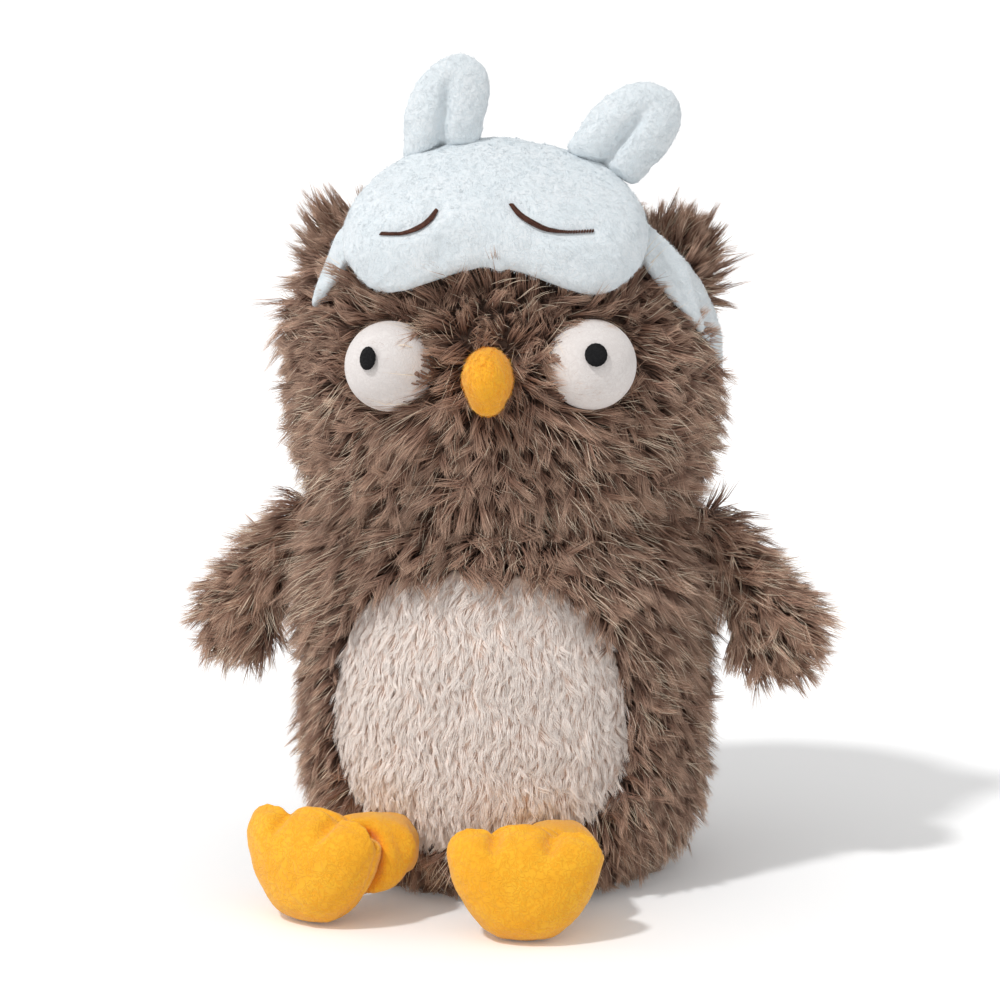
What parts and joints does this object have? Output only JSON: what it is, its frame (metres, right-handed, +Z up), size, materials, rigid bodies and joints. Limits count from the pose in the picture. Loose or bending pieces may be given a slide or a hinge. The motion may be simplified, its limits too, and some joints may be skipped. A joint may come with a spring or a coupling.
{
  "type": "plush owl",
  "caption": "Long-pile plush owl that sits on a flat weighted bottom, with bulging eyes, three-toed feet and a padded sleep mask with ears pushed up on its forehead.",
  "frame": {"origin": "centre of the owl's flat bottom", "axes": "+Z up, -Y the way the owl's body faces, left is -X as seen from the front"},
  "size_m": [0.241, 0.1827, 0.3059],
  "materials": {
    "brown_plush": "long-pile brown plush with paler guard hairs, 20 to 25 mm pile",
    "cream_plush": "cream plush, about 10 mm pile",
    "orange_velour": "short-pile orange velour",
    "white_velour": "short-pile white velour",
    "black_thread": "satin-stitched black thread",
    "brown_thread": "satin-stitched brown thread",
    "blue_velour": "pale blue plush, 4 to 5 mm pile",
    "blue_satin": "smooth pale blue lining cloth",
    "fibre_fill": "loose white polyester fibre",
    "pellet_cloth": "plain woven cloth bag of pellets"
  },
  "bodies": {
    "torso": {"torso_front_skin": "brown_plush", "torso_back_skin": "brown_plush", "belly_panel": "cream_plush", "base_panel": "brown_plush", "torso_stuffing": "fibre_fill", "pellet_pouch": "pellet_cloth"},
    "head": {"head_front_skin": "brown_plush", "head_back_skin": "brown_plush", "head_stuffing": "fibre_fill", "eye_left": "white_velour", "eye_right": "white_velour", "pupil_left": "black_thread", "pupil_right": "black_thread", "beak": "orange_velour", "ear_tuft_left": "brown_plush", "ear_tuft_right": "brown_plush"},
    "mask": {"mask_front": "blue_velour", "mask_padding": "fibre_fill", "mask_lining": "blue_satin", "mask_strap": "blue_velour", "closed_eye_left": "brown_thread", "closed_eye_right": "brown_thread"},
    "left_mask_ear": {"mask_ear_left": "blue_velour"},
    "right_mask_ear": {"mask_ear_right": "blue_velour"},
    "left_wing": {"wing_front_left": "brown_plush", "wing_back_left": "brown_plush", "wing_stuffing_left": "fibre_fill"},
    "right_wing": {"wing_front_right": "brown_plush", "wing_back_right": "brown_plush", "wing_stuffing_right": "fibre_fill"},
    "left_leg": {"leg_left": "orange_velour", "foot_sole_left": "orange_velour", "foot_upper_left": "orange_velour", "foot_stuffing_left": "fibre_fill"},
    "right_leg": {"leg_right": "orange_velour", "foot_sole_right": "orange_velour", "foot_upper_right": "orange_velour", "foot_stuffing_right": "fibre_fill"}
  },
  "joints": [
    {"name": "head_turn", "type": "hinge", "parent": "torso", "child": "head", "pos_m": [0, 0, 0.1383], "axis": [0, 0, 1], "range_deg": [-15, 15], "stiffness_Nm_per_rad": 0.15},
    {"name": "mask_tilt", "type": "hinge", "parent": "head", "child": "mask", "pos_m": [0, 0, 0.189], "axis": [0.9981, 0.0611, 0], "range_deg": [-6, 4]},
    {"name": "left_mask_ear_flop", "type": "hinge", "parent": "mask", "child": "left_mask_ear", "pos_m": [-0.02023, -0.01926, 0.27189], "axis": [0.9763, 0.0597, 0.2079], "range_deg": [-20, 20], "stiffness_Nm_per_rad": 0.01},
    {"name": "right_mask_ear_flop", "type": "hinge", "parent": "mask", "child": "right_mask_ear", "pos_m": [0.03591, -0.02032, 0.26661], "axis": [0.8813, 0.0539, -0.4695], "range_deg": [-20, 20], "stiffness_Nm_per_rad": 0.01},
    {"name": "left_wing_swing", "type": "hinge", "parent": "torso", "child": "left_wing", "pos_m": [-0.08158, 0, 0.09383], "axis": [0.2009, 0, 0.9796], "range_deg": [-28, 28], "stiffness_Nm_per_rad": 0.02},
    {"name": "right_wing_swing", "type": "hinge", "parent": "torso", "child": "right_wing", "pos_m": [0.08158, 0, 0.09383], "axis": [-0.2009, 0, 0.9796], "range_deg": [-28, 28], "stiffness_Nm_per_rad": 0.02},
    {"name": "left_leg_swing", "type": "hinge", "parent": "torso", "child": "left_leg", "pos_m": [-0.03503, -0.07433, 0.0228], "axis": [0.4504, -0.8928, 0], "range_deg": [-20, 70]},
    {"name": "right_leg_swing", "type": "hinge", "parent": "torso", "child": "right_leg", "pos_m": [0.03503, -0.07433, 0.0228], "axis": [0.8139, -0.581, 0], "range_deg": [-20, 70]}
  ]
}
